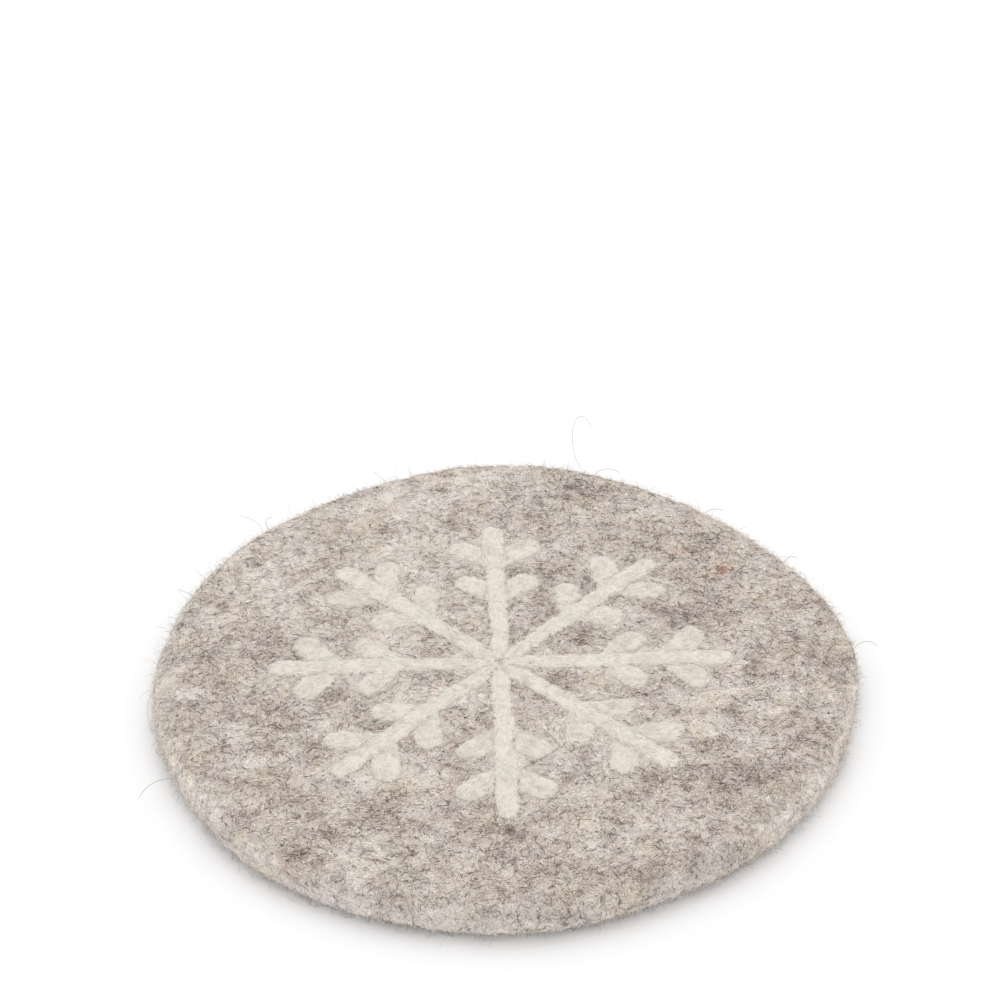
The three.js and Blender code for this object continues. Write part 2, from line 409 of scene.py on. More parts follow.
def felt_height(flat):
    """Height of the felt's top at flat places."""
    reach, angle = polar(flat)
    return felt_surface(reach / outline_stretch(angle), angle)[0][..., 2]


# Plan of the snowflake's tufts

def tuft_outline(name):
    """A tuft's edge seen from above: the rim of its CAD underside, spread a little and made ragged."""
    points = np.round(node_points(name), 3)
    directed = set()
    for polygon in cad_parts[name].data.polygons:
        corners = points[list(polygon.vertices)]
        if corners[:, 2].max() < SEAT_FLOOR + 0.01:
            places = [tuple(corner) for corner in corners[:, :2]]
            directed.update(zip(places, places[1:] + places[:1]))
    before = {b: a for a, b in directed if (b, a) not in directed}
    loop = [min(before)]
    while len(loop) <= len(before):
        loop.append(before[loop[-1]])
    closed = np.array(loop)
    gone = np.concatenate([[0], np.cumsum(np.hypot(*np.diff(closed, axis=0).T))])
    even = np.linspace(0, gone[-1], round(gone[-1] / TUFT_EDGE_STEP), endpoint=False)
    edge = np.stack([np.interp(even, gone, closed[:, k]) for k in range(2)], -1)
    way = unit(np.roll(edge, -3, 0) - np.roll(edge, 3, 0))
    outward = np.stack([way[:, 1], -way[:, 0]], -1)
    level = np.column_stack([edge, np.full(len(edge), THICKNESS)])
    edge = edge + outward * (TUFT_SPREAD + layered_noise(level, TUFT_RAGGED, seed=30))[:, None]
    edge[:, 0] += TUFT_WANDER * noise_at(level, TUFT_WANDER_SIZE, seed=36)
    edge[:, 1] += TUFT_WANDER * noise_at(level, TUFT_WANDER_SIZE, seed=37)
    return edge


outlines = {name: tuft_outline(name) for name in tuft_names}


def depth_in(outline, places):
    """How far inside an outline each flat place is, or 0 outside it."""
    depth = np.zeros(len(places))
    near = np.flatnonzero(np.all((places > outline.min(0)) & (places < outline.max(0)), 1))
    x = places[near, :1]
    y = places[near, 1:]
    ends = np.roll(outline, -1, 0)
    rise = ends[:, 1] - outline[:, 1]
    crosses = (outline[:, 1] > y) != (ends[:, 1] > y)
    slope = (ends[:, 0] - outline[:, 0]) / np.where(rise == 0, 1, rise)
    crossing = outline[:, 0] + (y - outline[:, 1]) * slope
    inside = (crosses & (x < crossing)).sum(1) % 2 == 1
    away = np.hypot(x - outline[:, 0], y - outline[:, 1]).min(1)
    depth[near] = np.where(inside, away, 0)
    return depth


def tuft_depth(flat):
    """How far inside the snowflake's edge each flat place is, or 0 where there is only felt."""
    places = flat.reshape(-1, 2)
    depth = np.zeros(len(places))
    for outline in outlines.values():
        depth = np.maximum(depth, depth_in(outline, places))
    return depth.reshape(flat.shape[:-1])


def tuft_rise(depth):
    """Height of the snowflake's wool over the felt, at a distance inside its edge."""
    share = np.clip(depth / TUFT_SLOPE, 0, 1)
    return TUFT_CROWN * share * (2 - share)


# Colours of the fleece

def fleece_patch_and_side_light(points):
    """Where the mixed fleece is darker, below 0, or lighter, above 0; painted light makes the left side
    lighter.
    """
    return layered_noise(points, PATCHES, seed=20) - LEFT_PAINTED_LIGHT * points[:, 0] / MEAN_RADIUS


def edge_wear_and_light(points):
    """Painted light and rubbed fleece: 0 on top and underside, 1 low on the wall; the edge above too, less
    in front.
    """
    reach, angle = polar(points)
    reach = reach + 1e-9
    outline = MEAN_RADIUS * outline_stretch(angle)
    front = smooth_step(*FRONT_RANGE, points[:, 1] / reach)
    rounded = smooth_step(*PALE_ROUNDING, reach / outline)
    wall = 1 - smooth_step(PALEST_HEIGHT, THICKNESS - PALE_END_BELOW_TOP, points[:, 2])
    wall = wall * smooth_step(*PALE_WALL, reach / outline)
    return np.maximum(wall, ROUNDING_PALENESS * rounded * (1 - FRONT_LIGHT_LOSS * front))


def fleece_tint(points):
    """Place on the tint scale, from 0, rust, past the middle, plain, to 1, lavender."""
    return TINT_MIDDLE + TINT_SWING * layered_noise(points, TINT_PATCHES, seed=40)


def rustiness(points):
    """From 0, nowhere near, to 1, in the middle of a rust-coloured spot on the upper side."""
    share = np.zeros(len(points))
    for x, y, strength in RUST_SPOTS:
        away = np.hypot((points[:, 0] - x) / RUST_STRETCH, points[:, 1] - y)
        share = np.maximum(share, strength * (1 - smooth_step(0, RUST_REACH, away)))
    return np.where(points[:, 2] > THICKNESS / 2, share, 0)


def heather(places):
    """Shade and tint of each fibre, in patches as mixed fleece has, with painted light on the edge and the
    left.
    """
    patch_and_light = fleece_patch_and_side_light(places)
    wear_and_light = edge_wear_and_light(places)
    count = len(places)
    dark_share = np.clip(DARK_SHARE - DARK_BY_PATCH * patch_and_light - DARK_BY_EDGE * wear_and_light, *DARK_LIMITS)
    is_dark = random.random(count) < dark_share
    dark = random.beta(DARK_SPREAD, DARK_SPREAD, count) * LIGHTEST_DARK
    light = random.normal(LIGHT_SHADE, LIGHT_SPREAD, count) + LIGHT_BY_PATCH * patch_and_light + LIGHT_BY_EDGE * wear_and_light
    shades = np.clip(np.where(is_dark, dark, light), *SHADE_LIMITS)
    tints = np.clip(fleece_tint(places) + random.normal(0, TINT_SPREAD, count), *TINT_LIMITS)
    rusty = random.random(count) < rustiness(places)
    return np.where(rusty, RUST_SHADE * shades, shades), np.where(rusty, RUST_PLACE, tints)


def tuft_tone(name):
    """Stems hold more white wool than leaves, so they look lighter."""
    return STEM_TONE if name.endswith("stem") else LEAF_TONE


def fibre_tones(tone, count):
    """Shades of white fibres about a tuft's own, painted a little lighter against the painted shade of the
    pad.
    """
    return np.clip(random.normal(tone + FIBRE_PAINTED_LIGHT, FIBRE_TONE_SPREAD, count), *SHADE_LIMITS)


# Making pieces


def triangle_mesh(name, points, triangles, point_uv=None):
    """A new smooth object of triangles; point_uv is a map for the bake, one row for each point."""
    mesh = bpy.data.meshes.new(name)
    corners = np.asarray(triangles, np.int32).ravel()
    mesh.vertices.add(len(points))
    mesh.vertices.foreach_set("co", (points * MM).astype(np.float32).ravel())
    mesh.loops.add(len(corners))
    mesh.loops.foreach_set("vertex_index", corners)
    mesh.polygons.add(len(triangles))
    mesh.polygons.foreach_set("loop_start", np.arange(0, len(corners), 3, dtype=np.int32))
    mesh.update(calc_edges=True)
    if point_uv is not None:
        layer = mesh.uv_layers.new(name="OFBake")
        layer.data.foreach_set("uv", point_uv[corners].astype(np.float32).ravel())
    mesh.shade_smooth()
    made = bpy.data.objects.new(name, mesh)
    bpy.context.scene.collection.objects.link(made)
    return made


def paint(piece, name, values):
    """Stores one number for each point of a piece, for its material to read."""
    layer = piece.data.attributes.new(name, "FLOAT", "POINT")
    layer.data.foreach_set("value", np.asarray(values, np.float32))


def keep(piece, wool):
    """Gives a piece the material of its wool, and lets it move with the part."""
    material, slot = wool
    piece.data.materials.append(material)
    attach(piece, "root")
    return piece


# The felt disc

def stitch(inner, outer):
    """Triangles between two closed rings of point numbers, which may differ in count."""
    triangles = []
    i = j = 0
    while i < len(inner) or j < len(outer):
        a = inner[i % len(inner)]
        b = outer[j % len(outer)]
        if (i + 1) / len(inner) < (j + 1) / len(outer):
            triangles.append((a, b, inner[(i + 1) % len(inner)]))
            i += 1
        else:
            triangles.append((a, b, outer[(j + 1) % len(outer)]))
            j += 1
    return triangles


def steps_between(start, end, step):
    """Even distances after start, up to and with end, about one step apart."""
    count = round((end - start) / step)
    return [start + (end - start) * k / count for k in range(1, count + 1)]


def felt_body(wool):
    """The felt disc itself, as one closed mesh of rings from the top's middle to the underside's."""
    along = [0.0] + steps_between(0, TOP_FLAT, TOP_RING_STEP)
    along += steps_between(TOP_FLAT, UNDER_START, TOP_RING_STEP)
    along += steps_between(UNDER_START, SECTION_END, UNDER_RING_STEP)
    along = np.array(along)
    step = np.where(along > UNDER_START + 1, UNDER_RING_STEP, TOP_RING_STEP)
    counts = np.maximum(1, np.round(2 * math.pi * profile(along)[0] / step)).astype(int)
    angle = np.concatenate([np.arange(n) * 2 * math.pi / n for n in counts])
    jitter = random.uniform(-RING_JITTER, RING_JITTER, len(angle))
    place = np.repeat(along, counts) + np.where(np.repeat(counts, counts) > EVEN_RING_POINTS, jitter, 0)
    points, _ = felt_surface(place, angle)
    seat = np.where(place < TOP_FLAT, tuft_depth(points[:, :2]), 0)
    drop = points[:, 2] - SEAT_FLOOR + SEAT_UNDERCUT
    points[:, 2] -= drop * smooth_step(SEAT_START, SEAT_END, seat)
    points[:, 2] = np.maximum(points[:, 2], 0)
    starts = np.cumsum([0, *counts])
    rings = [np.arange(a, b) for a, b in zip(starts[:-1], starts[1:])]
    triangles = []
    for ring, following in zip(rings[:-1], rings[1:]):
        triangles += [t for t in stitch(ring, following) if len(set(t)) == 3]
    body = keep(triangle_mesh("felt_body", points, triangles), wool)
    # Painted light in the patches: the pale edge, partly rubbed fleece and partly light, and the lighter
    # left side
    paint(body, "patch_and_light", fleece_patch_and_side_light(points) + EDGE_WEAR_AND_LIGHT_GAIN * edge_wear_and_light(points))
    paint(body, "tint", fleece_tint(points) - RUST_IN_BODY * rustiness(points))
    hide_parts("felt_disc")
    return body


# Tufts of the snowflake

def tuft_body(name, wool):
    """A tuft as a soft pad that goes down into its seat and thins out to a ragged edge on the felt."""
    outline = outlines[name]
    low = outline.min(0)
    high = outline.max(0)
    grid = np.mgrid[low[0]:high[0]:TUFT_GRID, low[1]:high[1]:TUFT_GRID].reshape(2, -1).T
    grid = grid + random.uniform(-GRID_JITTER, GRID_JITTER, grid.shape) * TUFT_GRID
    inner = grid[depth_in(outline, grid) > GRID_MARGIN * TUFT_GRID]
    given = [Vector(place) for place in np.concatenate([outline, inner])]
    flat, _, triangles, sources, _, _ = delaunay_2d_cdt(given, [], [list(range(len(outline)))], 1, 1e-5)
    flat = np.array(flat)
    number_of = {source: number for number, found in enumerate(sources) for source in found}
    ring = [number_of[k] for k in range(len(outline))]
    depth = depth_in(outline, flat)
    felt_top = felt_height(flat)
    level = np.column_stack([flat, felt_top])
    crown = tuft_rise(depth) * (1 + layered_noise(level, TUFT_LUMPS, seed=32) / TUFT_CROWN)
    top = felt_top + crown + TUFT_EDGE_THICKNESS / 2
    under = felt_top - TUFT_EDGE_THICKNESS / 2
    under -= (under - SEAT_FLOOR) * smooth_step(SEAT_START + SEAT_LAG, SEAT_END + SEAT_LAG, depth)
    points = np.concatenate([np.column_stack([flat, top]), np.column_stack([flat, under])])
    below = len(flat)
    faces = [tuple(t) for t in triangles]
    faces += [(a + below, c + below, b + below) for a, b, c in triangles]
    for a, b in zip(ring, ring[1:] + ring[:1]):
        faces += [(a, a + below, b + below), (a, b + below, b)]
    body = triangle_mesh(name + "_wool", points, faces)
    patches = PAD_PATCH_WEIGHT * noise_at(points, PAD_PATCH_SIZE, seed=35)
    # The pad is painted darker than its fibres: painted shade in the gaps between them
    paint(body, "tone", tuft_tone(name) - PAD_PAINTED_SHADE + patches)
    keep(body, wool)
    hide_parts(name)


def tuft_frame(name):
    """A tuft's middle, its directions along and across, and its half width at stations along it."""
    points = node_points(name)[:, :2]
    middle = points.mean(0)
    axis = np.linalg.svd(points - middle, full_matrices=False)[2][0]
    outward = axis if axis @ middle > 0 else -axis
    across = np.array([-outward[1], outward[0]])
    along = (points - middle) @ outward
    aside = np.abs((points - middle) @ across)
    stations = np.linspace(along.min(), along.max(), TUFT_STATIONS)
    reach = (along.max() - along.min()) / STATION_REACH
    widths = np.array([aside[np.abs(along - at) < reach].max() for at in stations])
    return middle, outward, across, stations, widths


def joined_depth(flat):
    """Like tuft_depth, but wool also bridges the gaps between the leaves and their stem."""
    depth = tuft_depth(flat)
    for name in tuft_names:
        if not name.endswith("stem"):
            middle, outward, _, stations, widths = tuft_frame(name)
            root = middle + stations[0] * outward
            start = root - ROOT_OVERLAP * outward
            way = root + ROOT_BLEND * outward - start
            share = np.clip((flat - start) @ way / (way @ way), 0, 1)
            away = np.linalg.norm(flat - start - share[..., None] * way, axis=-1)
            depth = np.maximum(depth, widths[: len(widths) // 4].mean() - away)
    return depth


# Making fibres

def scattered(count, reach):
    """Random places in a round of the given radius."""
    radius = reach * np.sqrt(random.random(count))
    angle = random.uniform(0, 2 * math.pi, count)
    return np.stack([radius * np.cos(angle), radius * np.sin(angle)], -1)


def mostly_short(kind):
    """Lengths over a least one, of which most are short."""
    least, shape, scale = kind.length
    return least + random.gamma(shape, scale, kind.count)


def curly_paths(starts, lengths, curl, stops):
    """Flat wandering paths: one row of points for each fibre, about its start."""
    count = len(starts)
    heading = random.uniform(0, 2 * math.pi, (count, 1))
    steady = random.normal(0, curl, (count, 1))
    bend = steady + random.normal(0, BEND_CHANGE * curl, (count, stops - 1))
    step = (lengths / (stops - 1))[:, None]
    turned = heading + np.cumsum(bend * step, 1)
    walk = np.stack([np.cos(turned), np.sin(turned)], -1) * step[..., None]
    path = np.concatenate([np.zeros((count, 1, 2)), np.cumsum(walk, 1)], 1)
    return starts[:, None, :] + path - path.mean(1, keepdims=True)


def fibre_lift(shape, sink, rise):
    """Height over the surface along each fibre: both ends dive in, the middle rides up and down."""
    count, stops = shape
    along = np.linspace(0, 1, stops)[None, :]
    arch = np.sin(math.pi * along) ** ARCH_POWER
    turns = along * random.uniform(*LIFT_WAVES, (count, 1)) + random.random((count, 1))
    waves = np.sin(2 * math.pi * turns)
    return -sink + arch * (rise * random.random((count, 1)) + sink) + LIFT_WAVE_SHARE * rise * waves * arch


def fibre_mesh(name, paths, half, shades, tints):
    """Closed three-sided tubes of the given half thickness; the bake map holds their shade and tint."""
    count, steps, _ = paths.shape
    tangent = unit(np.gradient(paths, axis=1))
    side = unit(np.cross(tangent, random.normal(size=(count, 1, 3))))
    lift = np.cross(side, tangent)
    along = np.linspace(0, 1, steps)[:, None]
    taper = np.minimum(1, END_THICKNESS + TAPER * np.sin(math.pi * along))
    reach = half[:, None, None] * taper
    corners = []
    for k in range(3):
        turn = 2 * math.pi * k / 3
        corners.append(paths + reach * (math.cos(turn) * side + math.sin(turn) * lift))
    points = np.stack(corners, 2).reshape(-1, 3)
    last = 3 * (steps - 1)
    triangles = [(0, 1, 2), (last, last + 2, last + 1)]
    for ring in range(0, last, 3):
        for k in range(3):
            a = ring + k
            b = ring + (k + 1) % 3
            triangles += [(a, b + 3, b), (a, a + 3, b + 3)]
    every = np.array(triangles)[None] + (3 * steps * np.arange(count))[:, None, None]
    # The second corner of each ring lies further in on the map, so that the end faces have a width there
    column = np.arange(3)
    inward = np.where(column == 1, MAP_END_WIDTH * (1 - 2 * along), 0)
    uv = np.zeros((count, steps, 3, 2))
    uv[..., 0] = shades[:, None, None] + MAP_FIBRE_WIDTH * column
    uv[..., 1] = tints[:, None, None] + MAP_FIBRE_LENGTH * (along + inward)
    return triangle_mesh(name, points, every.reshape(-1, 3), uv.reshape(-1, 2))


def fibre_pieces(name, paths, half, shades, tints, wool):
    """Splits many fibres into pieces of a handy size; a point brings up to six triangles."""
    triangles = len(paths) * 6 * paths.shape[1]
    parts = math.ceil(triangles / PIECE_TRIANGLES)
    for number in range(parts):
        pick = slice(number, None, parts)
        piece = fibre_mesh(f"{name}_{number + 1}", paths[pick], half[pick], shades[pick], tints[pick])
        keep(piece, wool)


def pale_on_tufts(paths, shades):
    """Lightens the fibres that cross the snowflake, where no dark ones lie."""
    over = (paths[..., 2] > THICKNESS / 2) & (tuft_depth(paths[..., :2]) > FIBRE_OVERLAP)
    return np.where(over.any(1), np.maximum(shades, SHADE_ON_TUFTS), shades)


def felt_pieces(kind, paths, shades, tints, wool):
    """Pieces of one kind of fibre on the felt."""
    shades = pale_on_tufts(paths, shades)
    half = random.uniform(*kind.half, len(paths))
    fibre_pieces(kind.name, paths, half, shades, tints, wool)


# Fibres that lie on the felt

def laid_paths(flat, kind):
    """Lays flat paths on the felt's top and edge, and says which stay: few do that cross the snowflake."""
    reach, angle = polar(flat)
    along = np.minimum(reach, UNDER_START)
    points, normals = felt_surface(along, angle)
    depth = np.where(along < TOP_FLAT, tuft_depth(points[..., :2]), 0)
    crossing = random.random(len(flat)) < CROSSING_SHARE
    stays = crossing | ((depth > FIBRE_OVERLAP).mean(1) < MOST_ON_TUFT)
    points[..., 2] += tuft_rise(depth)
    paths = points + normals * fibre_lift(flat.shape[:2], kind.sink, kind.rise)[..., None]
    paths[..., 2] = np.maximum(paths[..., 2], LEAST_HEIGHT)
    return paths, stays


def lying_paths(kind):
    """Paths of one kind of fibre, scattered over the top and the edge."""
    lengths = random.uniform(*kind.length, kind.count)
    flat = curly_paths(scattered(kind.count, UNDER_START), lengths, kind.bend, kind.points)
    paths, stays = laid_paths(flat, kind)
    return paths[stays]


def felt_fibres(wool):
    """Long fine fibres, each of its own shade."""
    paths = lying_paths(LONG_FIBRES)
    shades, tints = heather(paths[:, LONG_FIBRES.points // 2])
    felt_pieces(LONG_FIBRES, paths, shades, tints, wool)


def felt_hairs(wool):
    """Longer, finer hairs, some pale and some dark, that lie in wide curls over the felt."""
    paths = lying_paths(LYING_HAIRS)
    count = len(paths)
    is_dark = random.random(count) < DARK_HAIRS
    shades = np.where(is_dark, random.uniform(*DARK_SHADES, count), random.uniform(*PALE_SHADES, count))
    _, tints = heather(paths[:, LYING_HAIRS.points // 2])
    felt_pieces(LYING_HAIRS, paths, shades, tints, wool)


def parted(flat):
    """Parts each flat path into a lock of a few fibres that lie side by side."""
    count, stops, _ = flat.shape
    way = unit(flat[:, -1] - flat[:, 0])
    aside = np.stack([-way[:, 1], way[:, 0]], -1)
    share = np.linspace(0, 1, stops)[None, None, :, None]
    start = random.normal(0, LOCK_WIDTH, (count, LOCK_FIBRES, 1, 1))
    end = start + random.normal(0, LOCK_SPLAY, start.shape)
    slide = random.uniform(-LOCK_SLIDE, LOCK_SLIDE, start.shape)
    shift = aside[:, None, None] * (start + (end - start) * share) + way[:, None, None] * slide
    return (flat[:, None] + shift).reshape(-1, stops, 2)


def felt_locks(wool):
    """Short locks, in which a few fibres of one shade cling together."""
    lengths = mostly_short(LOCKS)
    flat = curly_paths(scattered(LOCKS.count, UNDER_START), lengths, LOCKS.bend, LOCKS.points)
    paths, stays = laid_paths(parted(flat), LOCKS)
    shades, tints = heather(paths[::LOCK_FIBRES, LOCKS.points // 2])
    owner = np.repeat(np.arange(LOCKS.count), LOCK_FIBRES)[stays]
    shades = np.clip(shades[owner] + random.normal(0, LOCK_SHADE_SPREAD, len(owner)), *SHADE_LIMITS)
    shades = pale_on_tufts(paths[stays], shades)
    half = random.uniform(*LOCKS.half, len(owner)) * (LOCK_THICKNESS + LOCK_THICKNESS_OF_SHADE * shades)
    fibre_pieces(LOCKS.name, paths[stays], half, shades, tints[owner], wool)


def under_fibres(wool):
    """Fibres pressed flat on the underside and a little way up round its edge."""
    kind = UNDER_FIBRES
    reach = UNDER_FLAT + LOW_ARC / 2
    lengths = random.uniform(*kind.length, kind.count)
    flat = curly_paths(scattered(kind.count, reach), lengths, kind.bend, kind.points)
    out, angle = polar(flat)
    points, normals = felt_surface(SECTION_END - np.minimum(out, reach), angle)
    paths = points + normals * fibre_lift(flat.shape[:2], kind.sink, kind.rise)[..., None]
    paths[..., 2] = np.maximum(paths[..., 2], LEAST_HEIGHT)
    shades, tints = heather(paths[:, kind.points // 2])
    felt_pieces(kind, paths, shades, tints, wool)


# Fibres that stand off the felt

def loose_hairs(kind, along, lengths, wool):
    """Fine hairs that leave the felt at places along its section, lean out or lie any way, and curl."""
    roots, normals = felt_surface(along, random.uniform(0, 2 * math.pi, kind.count))
    lean = normals * random.uniform(*kind.lean, (kind.count, 1))
    way = unit(lean + HAIR_STRAY * random.normal(size=roots.shape))
    step = (lengths / (kind.points - 1))[:, None]
    spin = random.normal(size=roots.shape) * random.uniform(*kind.curl, (kind.count, 1))
    places = [roots - HAIR_ROOT * normals]
    for _ in range(kind.points - 1):
        way = unit(way + np.cross(spin, way) * step + random.normal(0, HAIR_WOBBLE, way.shape))
        places.append(places[-1] + way * step)
    paths = np.stack(places, 1)
    paths[..., 2] = np.maximum(paths[..., 2], LEAST_HAIR_HEIGHT)
    _, tints = heather(roots)
    is_dark = random.random(kind.count) < kind.dark_share
    dark = random.uniform(*DARK_SHADES, kind.count)
    shades = np.where(is_dark, dark, random.uniform(*kind.shades, kind.count))
    felt_pieces(kind, paths, shades, tints, wool)


def top_or_edge(count, edge_share):
    """Places along the section; edge_share of them lie round the edge, the rest on the top."""
    top_along = TOP_FLAT * np.sqrt(random.random(count))
    edge_along = random.uniform(TOP_FLAT - EDGE_START, UNDER_START - EDGE_END, count)
    return np.where(random.random(count) < edge_share, edge_along, top_along)


def fuzz(wool):
    """Short pale fuzz all over, a fringe round the edge, and longer darker wisps."""
    along = top_or_edge(FUZZ.count, FUZZ_ON_EDGE)
    loose_hairs(FUZZ, along, mostly_short(FUZZ), wool)
    along = random.uniform(TOP_FLAT + FRINGE_START, UNDER_START, FRINGE.count)
    loose_hairs(FRINGE, along, mostly_short(FRINGE), wool)
    along = top_or_edge(WISPS.count, WISPS_ON_EDGE)
    loose_hairs(WISPS, along, random.uniform(*WISPS.length, WISPS.count), wool)


def bezier(controls, count):
    """Points along a smooth curve through the first and last of four controls."""
    t = np.linspace(0, 1, count)[:, None]
    a, b, c, d = (np.array(control, float) for control in controls)
    return (1 - t) ** 3 * a + 3 * t * (1 - t) ** 2 * b + 3 * t * t * (1 - t) * c + t ** 3 * d


def few_hairs(name, paths, look, wool):
    """One piece of a few long hairs."""
    half_range, shade_range, tint = look
    half = random.uniform(*half_range, len(paths))
    shades = random.uniform(*shade_range, len(paths))
    keep(fibre_mesh(name, paths, half, shades, np.full(len(paths), tint)), wool)


def edge_hairs(wool):
    """The few long hairs that stand off the edge."""
    edge_paths = []
    for angle, height, steps in EDGE_HAIRS:
        turn = math.radians(angle)
        out = np.array([math.cos(turn), math.sin(turn), 0])
        aside = np.array([-math.sin(turn), math.cos(turn), 0])
        rise = np.array([0, 0, 1])
        root = out * (MEAN_RADIUS * outline_stretch(turn) - EDGE_HAIR_ROOT) + rise * height
        controls = [root] + [root + out * o + aside * s + rise * u for o, s, u in steps]
        edge_paths.append(bezier(controls, EDGE_HAIR_POINTS))
    paths = np.array(edge_paths)
    paths[..., 2] = np.maximum(paths[..., 2], LEAST_HAIR_HEIGHT)
    few_hairs("edge_hairs", paths, EDGE_HAIR_LOOK, wool)


def top_hairs(wool):
    """The few long dark hairs that lie across the top."""
    top_paths = []
    for stops in TOP_HAIRS:
        stops = np.array(stops)
        fine = np.linspace(0, len(stops) - 1, TOP_HAIR_POINTS)
        flat = np.stack([np.interp(fine, np.arange(len(stops)), stops[:, k]) for k in range(2)], -1)
        for _ in range(TOP_HAIR_ROUNDINGS):
            flat[1:-1] = (flat[:-2] + 2 * flat[1:-1] + flat[2:]) / 4
        points, normals = felt_surface(*polar(flat))
        top_paths.append(points + normals * TOP_HAIR_LIFT)
    few_hairs("top_hairs", np.array(top_paths), TOP_HAIR_LOOK, wool)


# Fibres of the snowflake

def combed_paths(name):
    """Flat paths of the fibres along one tuft, past its edges and at a leaf's root into the stem."""
    share = np.linspace(-0.5, 0.5, COMBED_POINTS)
    middle, outward, across, stations, widths = tuft_frame(name)
    root = stations[0] - (0 if name.endswith("stem") else ROOT_OVERLAP)
    tip = stations[-1] + TIP_OVERRUN
    area = 2 * widths.mean() * (tip - root + 2 * COMBED_OVERRUN)
    count = round(COMBED_PER_SQUARE_MM * area)
    centre = random.uniform(root - COMBED_OVERRUN, tip + COMBED_OVERRUN, count)
    run = np.minimum(random.uniform(*COMBED_LENGTH, count), tip - root)
    ends = tip + random.uniform(-TIP_FEATHER, TIP_FEATHER, (count, 1))
    along = np.clip(centre[:, None] + run[:, None] * share, root, ends)
    lane = random.uniform(-LANE_REACH, LANE_REACH, (count, 1)) + random.normal(0, LANE_SPREAD, (count, 1))
    strays = random.random((count, 1)) < STRAY_SHARE
    lane = np.where(strays, lane * random.uniform(1, STRAY_REACH, (count, 1)), lane)
    lane = lane + random.normal(0, LANE_DRIFT, (count, 1)) * share
    turn = share * random.uniform(*LANE_WAVE_TURN, (count, 1))
    lane = lane + LANE_WAVE * np.sin(turn + LANE_WAVE_START * random.random((count, 1)))
    half = np.interp(along, stations, widths)
    return middle + along[..., None] * outward + (lane * half)[..., None] * across


def tuft_fibres(wool):
    """Combed fibres along each tuft, and a few crosswise where the stems meet."""
    all_flat = []
    all_shades = []
    for name in tuft_names:
        all_flat.append(combed_paths(name))
        all_shades.append(fibre_tones(tuft_tone(name), len(all_flat[-1])))
    hub = np.mean([node_points(name)[:, :2].mean(0) for name in tuft_names if name.endswith("stem")], 0)
    starts = hub + scattered(HUB_FIBRES, HUB_REACH)
    lengths = random.uniform(*HUB_FIBRE_LENGTH, HUB_FIBRES)
    all_flat.append(curly_paths(starts, lengths, HUB_FIBRE_BEND, COMBED_POINTS))
    all_shades.append(fibre_tones(STEM_TONE, HUB_FIBRES))
    flat = np.concatenate(all_flat)
    lift = fibre_lift(flat.shape[:2], COMBED_SINK, COMBED_RISE)
    height = felt_height(flat) + tuft_rise(joined_depth(flat)) + lift
    paths = np.concatenate([flat, height[..., None]], -1)
    half = random.uniform(*COMBED_HALF, len(paths))
    tints = random.uniform(*PLAIN_TINTS, len(paths))
    fibre_pieces("snowflake_fibres", paths, half, np.concatenate(all_shades), tints, wool)


# Materials

class Nodes:
    """Short calls for building one material's nodes."""

    def __init__(self, name):
        self.material = bpy.data.materials.new(name)
        self.material.use_nodes = True
        self.tree = self.material.node_tree
        self.shader = self.tree.nodes["Principled BSDF"]

    def add(self, kind, inputs=None, **settings):
        node = self.tree.nodes.new(kind)
        for key, value in settings.items():
            setattr(node, key, value)
        for key, value in (inputs or {}).items():
            self.feed(node.inputs[key], value)
        return node

    def feed(self, socket, value):
        if isinstance(value, bpy.types.NodeSocket):
            self.tree.links.new(value, socket)
        else:
            socket.default_value = value

    def ramp(self, factor, stops):
        node = self.add("ShaderNodeValToRGB", {"Fac": factor})
        elements = node.color_ramp.elements
        while len(elements) < len(stops):
            elements.new(1.0)
        for element, (place, colour) in zip(elements, stops):
            element.position = place
            element.color = colour
        return node.outputs["Color"]

    def fade(self, factor, low, high, most):
        """A grey from 0 to most as the factor goes from low to high; low may be the greater one."""
        ends = ((low, (0, 0, 0, 1)), (high, (most, most, most, 1)))
        return self.ramp(factor, sorted(ends))

    def mix(self, factor, first, second, blend="MIX"):
        node = self.add("ShaderNodeMix", data_type="RGBA", blend_type=blend)
        colour_inputs = [socket for socket in node.inputs if socket.type == "RGBA"]
        self.feed(node.inputs["Factor"], factor)
        self.feed(colour_inputs[0], first)
        self.feed(colour_inputs[1], second)
        return next(socket for socket in node.outputs if socket.type == "RGBA")

    def vector(self, operation, inputs):
        return self.add("ShaderNodeVectorMath", inputs, operation=operation).outputs["Vector"]

    def noise(self, vector, scale, detail):
        return self.add("ShaderNodeTexNoise", {"Vector": vector, "Scale": scale, "Detail": detail})

    def painted(self, name):
        return self.add("ShaderNodeAttribute", attribute_name=name).outputs["Fac"]

    def relief(self, height, strength, depth):
        inputs = {"Height": height, "Strength": strength, "Distance": depth * MM}
        self.feed(self.shader.inputs["Normal"], self.add("ShaderNodeBump", inputs).outputs["Normal"])

    def matt(self):
        """Wool hardly shines, and its fuzz has a soft sheen."""
        self.shader.inputs["Roughness"].default_value = 0.92
        self.shader.inputs["Specular IOR Level"].default_value = 0.15
        self.shader.inputs["Sheen Weight"].default_value = 0.3
        self.shader.inputs["Sheen Roughness"].default_value = 0.5


def linear(red, green, blue):
    """An 8-bit screen colour as the linear RGBA that a shader takes."""
    share = np.array((red, green, blue), float) / 255
    light = np.where(share <= 0.04045, share / 12.92, ((share + 0.055) / 1.055) ** 2.4)
    return (*light, 1.0)


PALE = linear(248, 243, 237)
CREAM = linear(236, 228, 221)
OATMEAL = linear(223, 214, 206)
BEIGE = linear(207, 197, 188)
TAUPE = linear(174, 160, 150)
BROWN = linear(116, 98, 86)
SOOT = linear(66, 55, 50)
WHITE_WOOL = linear(247, 241, 232)
SHADED_WOOL = linear(217, 210, 200)
